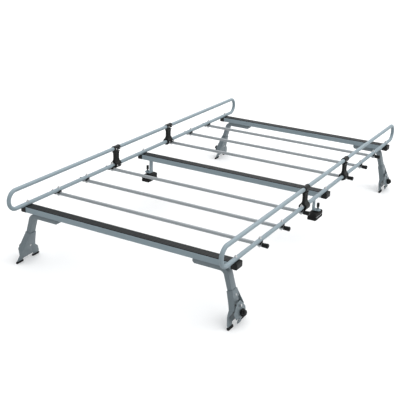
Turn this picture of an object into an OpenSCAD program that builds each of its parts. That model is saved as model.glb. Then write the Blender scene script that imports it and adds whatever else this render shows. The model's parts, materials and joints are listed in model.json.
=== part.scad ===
// Ladder rack for a small van with rain gutters.
// X runs across the van, +Y runs forward and +Z is up. The origin is on the level of the
// gutter shoes, at the middle of the rack. All sizes are in millimetres.

/* [Crossbars] */
// Length of each steel crossbar
bar_length = 1256; // [1250:1:1262]
// Size of a crossbar along the van
bar_depth = 58; // [54:1:62]
// Height of a crossbar
bar_height = 30; // [28:1:34]
// Wall of a crossbar
bar_wall = 1.6; // [1.4:0.2:2.4]
// Height of the underside of the crossbars above the shoes
bar_underside = 284; // [275:1:300]
// Distance from the middle bar to the front or rear bar
end_bar_y = 1092; // [1080:1:1110]
// Width of the rubber strip on a bar
strip_width = 52; // [44:1:52]
// Thickness of the rubber strip
strip_thickness = 4; // [3:0.5:6]
// Length of the flange of a bar end cap
bar_cap_flange = 15; // [10:1:18]

/* [Rods] */
// Outside diameter of a rod
rod_diameter = 19; // [17:0.5:20]
// Wall of a rod
rod_wall = 1.2; // [1:0.2:2]
// Spacing of the rods, counted from the front and rear bars
rod_pitch = 252; // [248:1:256]
// Half of the length of a rod, without its caps
rod_reach = 661; // [658:1:670]
// Length of a rod end cap
rod_cap_length = 34; // [28:1:34]

/* [Side rails] */
// Outside diameter of the rail tube
rail_diameter = 22; // [21:0.5:23]
// Wall of the rail tube
rail_wall = 1.4; // [1.2:0.2:2.2]
// Distance of each rail from the middle of the rack
rail_x = 619; // [616:1:622]
// Height of the upper rail tube above the lower one
rail_spacing = 102; // [96:1:110]
// How far the loop's centreline reaches past the front and rear bars
loop_reach = 140; // [120:1:160]
// Distance of the rail joints from the middle bar
joint_y = 296; // [292:1:298]

/* [Legs] */
// Width of the leg tube along the van
leg_width = 43; // [40:1:45]
// Thickness of the leg tube
leg_thickness = 25; // [22:1:26]
// Wall of the leg tube
leg_wall = 2; // [1.6:0.2:2.4]
// Angle of the leg from upright
leg_splay = 16; // [14:1:18]
// Inner end of the arm, from the middle of the rack
arm_start = 404; // [400:1:408]
// Where the arm begins to bend down, from the middle of the rack
arm_end = 551; // [546:1:552]
// Radius of the bend, at the middle of the tube
bend_radius = 36; // [32:1:40]
// Height of the top edge of the foot bracket
seam_height = 161; // [156:1:166]

/* [Feet] */
// Thickness of the pressed steel of the bracket and the clamp plate
plate = 3; // [2.5:0.5:3]
// Half of the width of the bracket where its folded edge ends
flare_half = 54; // [50:1:56]
// Distance of each claw from the middle of the foot
claw_y = 63; // [60:1:66]
// Width of a claw
claw_width = 42; // [38:1:44]
// Diameter of the clamp knob
knob_diameter = 40; // [34:1:42]

/* [Middle supports] */
// Distance of each support screw from the middle of the rack
support_x = 586; // [583:1:588]
// Size of the rubber pad across the van
pad_width = 54; // [50:1:56]
// Size of the rubber pad along the van
pad_length = 104; // [96:1:108]
// Height of the rubber pad
pad_height = 42; // [38:1:42]
// Height of the underside of the pad above the shoes
pad_underside = 146; // [144:1:146]

/* [Hidden] */
$fn = 64;

paint = [0.60, 0.64, 0.67];
dark_paint = [0.50, 0.54, 0.56];
satin = [0.74, 0.75, 0.76];
black = [0.10, 0.10, 0.11];
rubber = [0.20, 0.21, 0.21];

// Gap between parts that slide past each other
slide_gap = 0.3;
// Clearance of an end cap's skirt round its bar
skirt_fit = 0.05;
// Gap where the bend of a rail meets its straight runs
butt_gap = 0.05;
// Added to a cutting shape so that it passes right through
through = 1;

bar_top = bar_underside + bar_height;
bar_ends = [-end_bar_y, 0, end_bar_y];
rod_places = [for (s = [-1, 1], i = [1:3]) s * (end_bar_y - i * rod_pitch)];

// Rails sit on the bars, and the rods hang under the rails, each with a thin saddle between.
saddle_gap = 0.8;
saddle_side = 24;
rail_radius = rail_diameter / 2;
rod_radius = rod_diameter / 2;
rail_z = bar_top + saddle_gap + rail_radius;
upper_rail_z = rail_z + rail_spacing;
rod_z = rail_z - rail_radius - saddle_gap - rod_radius;
loop_radius = rail_spacing / 2;
bend_y = end_bar_y + loop_reach - loop_radius;
strip_reach = rail_x - rail_radius - 4;

bolt_d = 6;
bolt_hole = 6.6;
bolt_head = 10 / cos(30);
washer_d = 15;
washer_rise = 1.4;
nut_height = 5;
bolt_stick_out = 3;

// Rail joints
hood_d = 32;
hood_length = 58;
boss_d = 46;
boss_length = 54;
web_y = 46;
web_x = 16;
rib = 2;
rail_fit = 0.1;
joint_screw_d = 4;
joint_screw_y = 25;

// Legs: the arm hangs under the bar and slides along it.
arm_z = bar_underside - slide_gap - leg_thickness / 2;
bend_z = arm_z - bend_radius;
leg_top_x = arm_end + bend_radius * cos(leg_splay);
leg_top_z = bend_z + bend_radius * sin(leg_splay);
seam_x = leg_top_x + (leg_top_z - seam_height) * tan(leg_splay);
tube_into_bracket = 52;
leg_straight = (leg_top_z - seam_height) / cos(leg_splay) + tube_into_bracket;
lock_bolt_d = 8;
lock_bolt_hole = 8.6;
lock_bolts_x = [432, 508];
lock_bolt_head = 13 / cos(30);
slot_in = 54;
slot_out = 34;
t_nut = [24, 20, 6];

// Feet, in the bracket's own frame: X out of the bracket, Y along the van, Z up along the leg.
back_x = -leg_thickness / 2 - 0.4 - plate;
collar_half = leg_width / 2 + 0.4 + plate;
collar_depth = leg_thickness + 0.8 + 2 * plate;
collar_top = 7;
fold_end_z = -114;
flare_z = -82;
claw_top_z = -103;
web_bottom_z = -139;
claw_end_z = -160;
shoe_top_z = -151;
shoe_width = 50;
shoe_depth = 10;
pin_z = -74;
pin_d = 8;
pin_head_d = 12;
stud_z = -110;
stud_end = 39;
clamp_travel = 5;
collar_rivet_z = -20;
clamp_x = 21.5;
clamp_top_z = -54;
clamp_wide_z = -94;
clamp_low_z = -126;
lip_z = -160;
running_fit = 0.1;
knob_start = clamp_x + plate + slide_gap;
pin_head_x = clamp_x + plate + clamp_travel + slide_gap;
knob_length = 24;
knob_lobes = 6;

// Middle supports
support_strap = 36;
support_plate = 4;
support_drop_x = 557;
support_tab_z = 195.5;
support_bolts_x = [508, 532];
screw_d = 10;
screw_top = 241;
screw_nut = 7;
pad_top = pad_underside + pad_height;
pad_socket = 13;
pad_offset = 15;

// ---------- shared shapes ----------

// Rectangle with true round corners, centred
module round_rect(w, h, r) {
    square([w - 2 * r, h], center = true);
    square([w, h - 2 * r], center = true);
    for (x = [-1, 1], y = [-1, 1]) {
        translate([x * (w / 2 - r), y * (h / 2 - r)]) circle(r);
    }
}

module along_x(length, d) {
    rotate([0, 90, 0]) cylinder(d = d, h = length, center = true);
}

module along_y(length, d) {
    rotate([90, 0, 0]) cylinder(d = d, h = length, center = true);
}

module hexagon(height, corner_d) {
    cylinder(d = corner_d, h = height, $fn = 6);
}

module both_sides() {
    for (s = [-1, 1]) {
        translate([s * rail_x, 0, 0]) children();
    }
}

// Corner leg: right-hand legs face +X, and left-hand legs are the same part turned round.
module at_corner(side, end) {
    translate([0, end * end_bar_y, 0]) rotate([0, 0, side > 0 ? 0 : 180]) children();
}

// The frame of a foot: its origin is on the leg's centreline at the top of the bracket.
module foot_frame() {
    translate([seam_x, 0, seam_height]) rotate([0, -leg_splay, 0]) children();
}

// ---------- crossbars ----------

module bar_shell() {
    rotate([90, 0, 90]) {
        linear_extrude(bar_length, center = true) {
            difference() {
                round_rect(bar_depth, bar_height, 3);
                square([bar_depth - 2 * bar_wall, bar_height - 2 * bar_wall], center = true);
            }
        }
    }
}

module leg_slot() {
    slot_a = lock_bolts_x[0] - slot_in;
    slot_b = lock_bolts_x[1] + slot_out;
    for (s = [-1, 1]) {
        translate([s * (slot_a + slot_b) / 2, 0, bar_underside + bar_wall / 2]) {
            cube([slot_b - slot_a, lock_bolt_hole, bar_wall + 2 * through], center = true);
        }
    }
}

module rail_bolt_holes() {
    for (s = [-1, 1]) {
        translate([s * rail_x, 0, bar_top - bar_wall / 2]) {
            cylinder(d = bolt_hole, h = bar_wall + 2 * through, center = true);
        }
    }
}

module support_bolt_holes() {
    for (s = [-1, 1], x = support_bolts_x) {
        translate([s * x, 0, bar_underside + bar_wall / 2]) {
            cylinder(d = bolt_hole, h = bar_wall + 2 * through, center = true);
        }
    }
}

module end_crossbar() {
    color(paint) difference() {
        translate([0, 0, bar_underside + bar_height / 2]) bar_shell();
        leg_slot();
        rail_bolt_holes();
    }
}

module middle_crossbar() {
    color(paint) difference() {
        translate([0, 0, bar_underside + bar_height / 2]) bar_shell();
        rail_bolt_holes();
        support_bolt_holes();
    }
}

// Rubber strip with three grooves along its top and bevelled long edges
module rubber_strip() {
    edge = 1.5;
    groove = 1.2;
    color(rubber) translate([0, 0, bar_top]) rotate([90, 0, 90]) {
        linear_extrude(2 * strip_reach, center = true) {
            difference() {
                polygon([
                    [-strip_width / 2, 0], [strip_width / 2, 0],
                    [strip_width / 2, strip_thickness - edge],
                    [strip_width / 2 - edge, strip_thickness],
                    [edge - strip_width / 2, strip_thickness],
                    [-strip_width / 2, strip_thickness - edge]
                ]);
                for (y = [-1, 0, 1]) {
                    translate([y * strip_width / 4, strip_thickness]) {
                        square([groove * 2, groove * 2], center = true);
                    }
                }
            }
        }
    }
}

// Cap with a skirt round the bar's sides and underside, open on top where the rail is bolted,
// and a plug that fits inside the bar, notched at the top for the bolt's head
module bar_end_cap() {
    plug = [20, bar_depth - 2 * bar_wall - 0.4, bar_height - 2 * bar_wall - 0.4];
    wall = 3;
    rim = 2.5;
    notch = 18;
    skirt = 18;
    skirt_wall = 2;
    outer = [bar_depth + 2 * skirt_wall, bar_height + 2 * skirt_wall];
    translate([bar_length / 2, 0, bar_underside + bar_height / 2]) {
        rotate([90, 0, 90]) linear_extrude(bar_cap_flange - rim) round_rect(outer[0], outer[1], 7);
        translate([bar_cap_flange - rim, 0, 0]) {
            rotate([90, 0, 90]) linear_extrude(rim) round_rect(outer[0] - 5, outer[1] - 5, 6);
        }
        translate([-skirt, 0, 0]) rotate([90, 0, 90]) linear_extrude(skirt) difference() {
            round_rect(outer[0], outer[1], 7);
            round_rect(bar_depth + 2 * skirt_fit, bar_height + 2 * skirt_fit, 3);
            translate([-outer[0] / 2, bar_height / 2 - 2 * skirt_wall]) square([outer[0], 4 * skirt_wall]);
        }
        difference() {
            translate([-plug[0], -plug[1] / 2, -plug[2] / 2]) cube(plug);
            translate([-plug[0] - through, wall - plug[1] / 2, wall - plug[2] / 2]) {
                cube([plug[0] + through, plug[1] - 2 * wall, plug[2] - 2 * wall]);
            }
            translate([-plug[0] - through, -notch / 2, 0]) cube([plug[0] + through, notch, plug[2]]);
        }
    }
}

module bar_end_caps() {
    color(black) for (y = bar_ends, a = [0, 180]) {
        translate([0, y, 0]) rotate([0, 0, a]) bar_end_cap();
    }
}

// ---------- rods ----------

module rod(i) {
    color(satin) translate([0, rod_places[i], rod_z]) difference() {
        along_x(2 * rod_reach, rod_diameter);
        along_x(2 * rod_reach + 2 * through, rod_diameter - 2 * rod_wall);
        both_sides() cylinder(d = bolt_hole, h = 2 * rod_diameter, center = true);
    }
}

// Push-on cap, a little wider at its closed end
module rod_end_cap() {
    end_wall = 6;
    rod_cap_fit = 0.1;
    start = rod_reach + end_wall - rod_cap_length + rod_cap_fit;
    round_end = 2;
    translate([start, 0, rod_z]) rotate([0, 90, 0]) difference() {
        union() {
            cylinder(d1 = rod_diameter + 3, d2 = rod_diameter + 6, h = rod_cap_length - round_end);
            translate([0, 0, rod_cap_length - round_end]) {
                cylinder(d1 = rod_diameter + 6, d2 = rod_diameter + 2, h = round_end);
            }
        }
        translate([0, 0, -through]) {
            cylinder(d = rod_diameter + rod_cap_fit, h = rod_cap_length - end_wall + through);
        }
    }
}

module rod_end_caps() {
    color(black) for (y = rod_places, a = [0, 180]) {
        translate([0, y, 0]) rotate([0, 0, a]) rod_end_cap();
    }
}

// ---------- side rails ----------

module tube_ring() {
    difference() {
        circle(d = rail_diameter);
        circle(d = rail_diameter - 2 * rail_wall);
    }
}

// Rear end of a rail: two straight runs and a half-circle bend, butted at a hairline gap
module rail_end() {
    run = bend_y - butt_gap - joint_y - rib / 2;
    color(paint) {
        difference() {
            for (z = [rail_z, upper_rail_z]) {
                translate([0, -joint_y - rib / 2 - run / 2, z]) {
                    rotate([90, 0, 0]) linear_extrude(run, center = true) tube_ring();
                }
            }
            for (y = [-end_bar_y, rod_places[0], rod_places[1], rod_places[2]]) {
                translate([0, y, rail_z]) cylinder(d = bolt_hole, h = 2 * rail_diameter, center = true);
            }
            translate([0, -joint_y, 0]) joint_screw_holes();
        }
        translate([0, -bend_y, rail_z + loop_radius]) rotate([0, 90, 180]) {
            rotate_extrude(angle = 180) translate([loop_radius, 0]) tube_ring();
        }
    }
}

module rail_middle() {
    run = 2 * joint_y - rib;
    color(paint) difference() {
        for (z = [rail_z, upper_rail_z]) {
            translate([0, 0, z]) along_y(run, rail_diameter);
        }
        for (z = [rail_z, upper_rail_z]) {
            translate([0, 0, z]) along_y(run + 2 * through, rail_diameter - 2 * rail_wall);
        }
        translate([0, 0, rail_z]) cylinder(d = bolt_hole, h = 2 * rail_diameter, center = true);
        for (y = [-joint_y, joint_y]) {
            translate([0, y, 0]) joint_screw_holes();
        }
    }
}

// Sleeve with bevelled ends around a tube
module sleeve(d, length) {
    bevel = 2;
    along_y(length - 2 * bevel, d);
    for (a = [0, 180]) {
        rotate([0, 0, a]) translate([0, length / 2 - bevel, 0]) rotate([-90, 0, 0]) {
            cylinder(d1 = d, d2 = d - 2 * bevel, h = bevel);
        }
    }
}

// Plastic connector: a hood on the upper tubes, a boss on the lower tubes and a web between
module rail_joint() {
    color(black) difference() {
        union() {
            translate([0, 0, upper_rail_z]) sleeve(hood_d, hood_length);
            translate([0, 0, rail_z]) sleeve(boss_d, boss_length);
            translate([-web_x / 2, -web_y / 2, rail_z]) cube([web_x, web_y, rail_spacing]);
        }
        for (z = [rail_z, upper_rail_z]) {
            translate([0, 0, z]) {
                for (s = [-1, 1]) {
                    translate([0, s * (rib / 2 + boss_length), 0]) {
                        along_y(2 * boss_length, rail_diameter + 2 * rail_fit);
                    }
                }
                along_y(2 * rib, rail_diameter - 2 * rail_wall);
            }
        }
        joint_screw_holes();
    }
}

// Screws enter both tubes of each sleeve from the inner side.
module joint_screw_places() {
    for (y = [-1, 1], z = [[rail_z, boss_d], [upper_rail_z, hood_d]]) {
        translate([z[1] / 2, y * (joint_screw_y - 6), z[0]]) rotate([0, 90, 0]) children();
    }
}

module joint_screw_holes() {
    joint_screw_places() translate([0, 0, -14]) cylinder(d = joint_screw_d, h = 16);
}

module joint_screws() {
    head = 2.2;
    color(satin) for (s = [-1, 1], y = [-joint_y, joint_y]) {
        translate([s * rail_x, y, 0]) rotate([0, 0, s > 0 ? 180 : 0]) joint_screw_places() {
            cylinder(d = 8, h = head);
            translate([0, 0, -12]) cylinder(d = joint_screw_d, h = 12);
        }
    }
}

// ---------- fixings at the rail crossings ----------

// Dark saddles: a block shaped to both round tubes, or a low one on a flat bar
module rail_saddles() {
    low = 5;
    short = 4;
    color(black) for (s = [-1, 1]) {
        for (y = rod_places) {
            translate([s * rail_x, y, 0]) difference() {
                translate([0, 0, (rail_z + rod_z) / 2]) {
                    cube([saddle_side, saddle_side, rail_z - rod_z - 4], center = true);
                }
                translate([0, 0, rail_z]) along_y(2 * saddle_side, rail_diameter);
                translate([0, 0, rod_z]) along_x(2 * saddle_side, rod_diameter);
                translate([0, 0, rod_z]) cylinder(d = bolt_hole, h = rail_z);
            }
        }
        for (y = bar_ends) {
            translate([s * rail_x, y, 0]) difference() {
                translate([short - (s + 1) * short / 2 - saddle_side / 2, -bar_depth / 2 + 4, bar_top]) {
                    cube([saddle_side - short, bar_depth - 8, low]);
                }
                translate([0, 0, rail_z]) along_y(2 * bar_depth, rail_diameter);
                translate([0, 0, bar_top - through]) cylinder(d = bolt_hole, h = rail_z);
            }
        }
    }
}

// Bolts stand with their heads below: under the rods, or inside the crossbars.
module rail_bolts() {
    head = 4;
    top = rail_z + rail_radius + washer_rise + nut_height + bolt_stick_out;
    color(satin) for (s = [-1, 1]) {
        for (y = rod_places) {
            under = rod_z - rod_radius - washer_rise;
            translate([s * rail_x, y, under]) cylinder(d = bolt_d, h = top - under);
            translate([s * rail_x, y, under - head]) hexagon(head, bolt_head);
        }
        for (y = bar_ends) {
            under = bar_top - bar_wall;
            translate([s * rail_x, y, under]) cylinder(d = bolt_d, h = top - under);
            translate([s * rail_x, y, under - head]) hexagon(head, bolt_head);
        }
    }
}

// Curved washers on the tubes, with a nut on each rail
module rail_nuts() {
    bore = bolt_d + 0.2;
    seat = 4;
    color(satin) for (s = [-1, 1], y = concat(rod_places, bar_ends)) {
        translate([s * rail_x, y, rail_z + rail_radius + washer_rise]) difference() {
            union() {
                hexagon(nut_height, bolt_head);
                translate([0, 0, -seat]) cylinder(d = washer_d, h = seat);
            }
            translate([0, 0, -seat - through]) cylinder(d = bore, h = seat + nut_height + 2 * through);
            translate([0, 0, -washer_rise - rail_radius]) along_y(2 * washer_d, rail_diameter);
        }
    }
    color(satin) for (s = [-1, 1], y = rod_places) {
        translate([s * rail_x, y, rod_z - rod_radius - washer_rise]) difference() {
            cylinder(d = washer_d + 3, h = seat);
            translate([0, 0, -through]) cylinder(d = bore, h = seat + 2 * through);
            translate([0, 0, washer_rise + rod_radius]) along_x(2 * washer_d, rod_diameter);
        }
    }
}

// ---------- legs ----------

// Side view of the leg: arm, bend and straight leg
module leg_outline(thickness, start, straight) {
    far = 2 * bend_radius;
    translate([start, arm_z - thickness / 2]) square([arm_end - start, thickness]);
    translate([arm_end, bend_z]) intersection() {
        difference() {
            circle(bend_radius + thickness / 2);
            circle(bend_radius - thickness / 2);
        }
        polygon([[0, 0], [far * cos(leg_splay), far * sin(leg_splay)], [far, far], [0, far]]);
    }
    translate([leg_top_x, leg_top_z]) rotate(leg_splay - 90) {
        translate([0, -thickness / 2]) square([straight, thickness]);
    }
}

module leg_tube() {
    bevel = 9;
    hollow_start = 16;
    color(dark_paint) difference() {
        rotate([90, 0, 0]) {
            difference() {
                linear_extrude(leg_width, center = true) difference() {
                    leg_outline(leg_thickness, arm_start, leg_straight);
                    translate([arm_start, arm_z - leg_thickness / 2]) {
                        polygon([
                            [-through, -through], [bevel, -through], [bevel, 0], [0, bevel], [-through, bevel]
                        ]);
                    }
                }
                linear_extrude(leg_width - 2 * leg_wall, center = true) {
                    leg_outline(leg_thickness - 2 * leg_wall, arm_start + hollow_start, leg_straight + through);
                }
            }
        }
        for (x = lock_bolts_x) {
            translate([x, 0, arm_z]) cylinder(d = lock_bolt_hole, h = 2 * leg_thickness, center = true);
        }
    }
}

// Lock bolts with T-nuts inside the bar, and the foot's guide pin, stud and collar rivet
module leg_bolts() {
    head = 5.5;
    head_top = arm_z - leg_thickness / 2;
    nut_bottom = bar_underside + bar_wall + slide_gap;
    stud_start = back_x + 1.2;
    color(satin) {
        for (x = lock_bolts_x) {
            translate([x, 0, 0]) {
                translate([0, 0, head_top - head]) hexagon(head, lock_bolt_head);
                translate([0, 0, head_top]) cylinder(d = lock_bolt_d, h = nut_bottom + t_nut[2] + 3 - head_top);
                translate([-t_nut[0] / 2, -t_nut[1] / 2, nut_bottom]) cube(t_nut);
            }
        }
        foot_frame() {
            foot_pin(pin_z, pin_head_x);
            translate([pin_head_x, 0, pin_z]) rotate([0, 90, 0]) cylinder(d = pin_head_d, h = 4);
            translate([stud_start, 0, stud_z]) rotate([0, 90, 0]) cylinder(d = pin_d, h = stud_end - stud_start);
            translate([-back_x, 0, collar_rivet_z]) rotate([0, 90, 0]) cylinder(d = 10, h = 2);
        }
    }
}

// The guide pin, through the bracket's back plate with a flat head on the inner side
module foot_pin(z, end_x) {
    head = 2;
    translate([back_x - head, 0, z]) rotate([0, 90, 0]) {
        cylinder(d = pin_head_d, h = head);
        cylinder(d = pin_d, h = end_x - back_x + head);
    }
}

// ---------- feet ----------

// Edge of the bracket on its front side (s = 1), which flares from the collar downwards, or on
// its rear side (s = -1), which runs straight down and flares just above the claw
function bracket_edge(s) = s > 0
    ? [[collar_half, 0], [flare_half, flare_z], [flare_half + 13, claw_top_z + 6]]
    : [
        [collar_half, 0], [collar_half + 9, flare_z + 26], [flare_half - 13, flare_z],
        [flare_half + 12, claw_top_z]
    ];

function mirrored(points) = [for (i = [len(points) - 1:-1:0]) [-points[i][0], points[i][1]]];

// Outline of the bracket's back plate, in Y and Z
module bracket_outline() {
    inner = claw_y - claw_width / 2;
    outer = claw_y + claw_width / 2;
    claw = [
        [outer, claw_top_z - 36], [outer, claw_end_z], [inner, claw_end_z], [inner, web_bottom_z - 8],
        [inner - 6, web_bottom_z]
    ];
    polygon(concat(
        [[collar_half, collar_top]], bracket_edge(1), claw,
        mirrored(concat([[collar_half, collar_top]], bracket_edge(-1), claw))
    ));
}

// Folded edge of the bracket, following its side from the collar to the top of the claw
module flange_outline(s) {
    edge = concat([[collar_half, collar_top]], bracket_edge(s));
    claw_edge = [claw_y + claw_width / 2, claw_top_z - 36];
    low = edge[len(edge) - 1];
    path = concat(edge, [low + (claw_edge - low) * (low[1] - fold_end_z) / (low[1] - claw_edge[1])]);
    polygon([for (p = concat(path, [for (i = [len(path) - 1:-1:0]) path[i] - [plate, 0]])) [s * p[0], p[1]]]);
}

// Lays an outline drawn in Y and Z flat against the plane x, with the given thickness
module sheet_at(x, thickness) {
    translate([x, 0, 0]) rotate([90, 0, 90]) linear_extrude(thickness) children();
}

module foot_bracket() {
    collar_height = 34;
    blind = 1.2;
    wide = 2 * (claw_y + claw_width);
    color(dark_paint) foot_frame() difference() {
        union() {
            sheet_at(back_x, plate) bracket_outline();
            for (s = [-1, 1]) {
                sheet_at(back_x, collar_depth) flange_outline(s);
            }
            translate([-back_x - plate, -collar_half, -collar_height]) {
                cube([plate, 2 * collar_half, collar_height + collar_top]);
            }
        }
        rotate([90, 0, 0]) linear_extrude(wide, center = true) {
            polygon([
                [back_x + plate, fold_end_z], [-back_x + through, flare_z],
                [-back_x + through, claw_end_z], [back_x + plate, claw_end_z]
            ]);
        }
        translate([back_x, 0, pin_z]) rotate([0, 90, 0]) cylinder(d = pin_d, h = 4 * plate, center = true);
        translate([back_x + blind, 0, stud_z]) rotate([0, 90, 0]) cylinder(d = pin_d, h = plate);
    }
}

// Rubber shoes wrap the claw ends and stand flat on the gutter floor.
module foot_shoes() {
    big = 400;
    color(black) difference() {
        foot_frame() difference() {
            for (s = [-1, 1]) {
                translate([back_x + plate / 2 - shoe_depth / 2, s * claw_y - shoe_width / 2, claw_end_z - 20]) {
                    cube([shoe_depth, shoe_width, shoe_top_z - claw_end_z + 20]);
                }
            }
            sheet_at(back_x, plate) bracket_outline();
        }
        translate([seam_x - big / 2, -big / 2, -big]) cube([big, big, big]);
    }
}

// Outer clamp plate, which flares more on the rear side
module clamp_outline() {
    top = 14;
    front = 46;
    rear = 66;
    draw_in = 12;
    polygon([
        [-top, clamp_top_z], [top, clamp_top_z], [front, clamp_wide_z], [front, clamp_wide_z - 10],
        [front - draw_in, clamp_low_z], [draw_in - rear, clamp_low_z], [-rear, clamp_wide_z - 4], [-rear, clamp_wide_z]
    ]);
}

// Side view of the hook: from the clamp plate it slopes in under the bracket and ends in a lip
module hook_outline() {
    lip_x = 0;
    lip_height = 9;
    slope = plate * 1.4;
    polygon([
        [clamp_x, clamp_low_z + slope], [clamp_x + plate, clamp_low_z + slope], [clamp_x + plate, clamp_low_z],
        [lip_x + plate, lip_z + lip_height], [lip_x + plate, lip_z], [lip_x, lip_z], [lip_x, lip_z + lip_height + 1]
    ]);
}

module clamp_plate() {
    hook_width = 34;
    color(dark_paint) foot_frame() difference() {
        union() {
            sheet_at(clamp_x, plate) clamp_outline();
            rotate([90, 0, 0]) linear_extrude(hook_width, center = true) hook_outline();
        }
        translate([clamp_x, 0, pin_z]) rotate([0, 90, 0]) {
            cylinder(d = pin_d + 2 * running_fit, h = 4 * plate, center = true);
        }
        translate([clamp_x, 0, stud_z]) rotate([0, 90, 0]) {
            cylinder(d = pin_d + 1, h = 4 * plate, center = true);
        }
    }
}

// Black knob on the stud: a lobed grip against the plate and a round boss outside it
module knob_outline() {
    circle(d = knob_diameter - 8);
    for (i = [0:knob_lobes - 1]) {
        rotate(i * 360 / knob_lobes) translate([knob_diameter / 2 - 6, 0]) circle(d = 12);
    }
}

module clamp_knob() {
    collar = 2;
    grip = 13;
    cap = 4;
    color(black) foot_frame() translate([knob_start, 0, stud_z]) rotate([0, 90, 0]) difference() {
        union() {
            cylinder(d = 24, h = collar + 1);
            translate([0, 0, collar]) linear_extrude(grip) knob_outline();
            cylinder(d = knob_diameter - 14, h = knob_length);
        }
        translate([0, 0, -through]) cylinder(d = pin_d + 2 * running_fit, h = knob_length - cap + through);
    }
}

// ---------- middle supports ----------

module at_support(side) {
    rotate([0, 0, side > 0 ? 0 : 180]) children();
}

// Bent strap: a foot under the bar, a drop and a tab with a welded nut
module support_bracket() {
    foot_start = support_bolts_x[0] - 14;
    tab_end = support_x + 17;
    color(paint) difference() {
        union() {
            translate([foot_start, -support_strap / 2, bar_underside - support_plate]) {
                cube([support_drop_x + support_plate - foot_start, support_strap, support_plate]);
            }
            translate([support_drop_x, -support_strap / 2, support_tab_z]) {
                cube([support_plate, support_strap, bar_underside - support_tab_z]);
            }
            translate([support_drop_x, -support_strap / 2, support_tab_z]) {
                cube([tab_end - support_drop_x - support_strap / 2, support_strap, support_plate]);
            }
            translate([tab_end - support_strap / 2, 0, support_tab_z]) {
                cylinder(d = support_strap, h = support_plate);
            }
            translate([support_x, 0, support_tab_z]) hexagon(support_plate + screw_nut, 17 / cos(30));
        }
        translate([support_x, 0, support_tab_z - through]) {
            cylinder(d = screw_d + 2 * running_fit, h = support_plate + screw_nut + 2 * through);
        }
        for (x = support_bolts_x) {
            translate([x, 0, bar_underside]) cylinder(d = bolt_hole, h = 4 * support_plate, center = true);
        }
    }
}

module support_bolts() {
    head = 4;
    color(satin) for (a = [0, 180], x = support_bolts_x) {
        rotate([0, 0, a]) translate([x, 0, bar_underside - support_plate]) {
            translate([0, 0, -head]) hexagon(head, bolt_head);
            cylinder(d = bolt_d, h = support_plate + bar_wall + nut_height + 2);
            translate([0, 0, support_plate + bar_wall]) hexagon(nut_height, bolt_head);
        }
    }
}

// Adjusting screw with a hexagon collar above the pad and a plastic cap on its top end
module support_screw() {
    collar = 3;
    cap_height = 25;
    cap_d = 16;
    color(black) translate([support_x, 0, 0]) {
        translate([0, 0, pad_top - pad_socket + 1]) {
            cylinder(d = screw_d, h = screw_top - pad_top + pad_socket - 1);
        }
        translate([0, 0, pad_top + slide_gap]) hexagon(collar, 17 / cos(30));
        translate([0, 0, screw_top - cap_height]) cylinder(d = cap_d, h = cap_height - 2);
        translate([0, 0, screw_top - 2]) cylinder(d1 = cap_d, d2 = cap_d - 3, h = 2);
    }
}

// Rubber pad with a narrower top, a groove round its sides and a socket for the screw
module support_pad() {
    groove = 3;
    foot = 16;
    body = pad_height - foot - groove;
    color(black) translate([support_x - pad_offset, 0, pad_underside]) difference() {
        union() {
            linear_extrude(foot) round_rect(pad_width, pad_length, 6);
            linear_extrude(foot + groove) round_rect(pad_width - 6, pad_length - 6, 5);
            translate([0, 0, foot + groove]) linear_extrude(body - 4) round_rect(pad_width, pad_length, 6);
            linear_extrude(pad_height) round_rect(pad_width - 8, pad_length - 12, 5);
        }
        translate([pad_offset, 0, pad_height - pad_socket]) {
            cylinder(d = screw_d + 2 * running_fit, h = pad_socket + through);
        }
    }
}

// ---------- nodes ----------

translate([0, -end_bar_y, 0]) end_crossbar();  // crossbar_rear
middle_crossbar();  // crossbar_middle
translate([0, end_bar_y, 0]) end_crossbar();  // crossbar_front
translate([0, -end_bar_y, 0]) rubber_strip();  // rubber_strip_rear
rubber_strip();  // rubber_strip_middle
translate([0, end_bar_y, 0]) rubber_strip();  // rubber_strip_front
bar_end_caps();
rod(0);  // rod_1
rod(1);  // rod_2
rod(2);  // rod_3
rod(5);  // rod_4
rod(4);  // rod_5
rod(3);  // rod_6
rod_end_caps();
translate([-rail_x, 0, 0]) rail_end();  // rail_rear_left
translate([rail_x, 0, 0]) mirror([1, 0, 0]) rail_end();  // rail_rear_right
translate([-rail_x, 0, 0]) mirror([0, 1, 0]) rail_end();  // rail_front_left
translate([rail_x, 0, 0]) rotate([0, 0, 180]) rail_end();  // rail_front_right
translate([-rail_x, 0, 0]) rail_middle();  // rail_middle_left
translate([rail_x, 0, 0]) mirror([1, 0, 0]) rail_middle();  // rail_middle_right
translate([-rail_x, -joint_y, 0]) rail_joint();  // joint_rear_left
translate([rail_x, -joint_y, 0]) rotate([0, 0, 180]) rail_joint();  // joint_rear_right
translate([-rail_x, joint_y, 0]) rail_joint();  // joint_front_left
translate([rail_x, joint_y, 0]) rotate([0, 0, 180]) rail_joint();  // joint_front_right
joint_screws();
rail_saddles();
rail_bolts();
rail_nuts();
at_corner(-1, -1) leg_tube();  // leg_tube_rear_left
at_corner(1, -1) leg_tube();  // leg_tube_rear_right
at_corner(-1, 1) leg_tube();  // leg_tube_front_left
at_corner(1, 1) leg_tube();  // leg_tube_front_right
at_corner(-1, -1) leg_bolts();  // leg_bolts_rear_left
at_corner(1, -1) leg_bolts();  // leg_bolts_rear_right
at_corner(-1, 1) leg_bolts();  // leg_bolts_front_left
at_corner(1, 1) leg_bolts();  // leg_bolts_front_right
at_corner(-1, -1) foot_bracket();  // foot_bracket_rear_left
at_corner(1, -1) foot_bracket();  // foot_bracket_rear_right
at_corner(-1, 1) foot_bracket();  // foot_bracket_front_left
at_corner(1, 1) foot_bracket();  // foot_bracket_front_right
at_corner(-1, -1) foot_shoes();  // foot_shoes_rear_left
at_corner(1, -1) foot_shoes();  // foot_shoes_rear_right
at_corner(-1, 1) foot_shoes();  // foot_shoes_front_left
at_corner(1, 1) foot_shoes();  // foot_shoes_front_right
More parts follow.
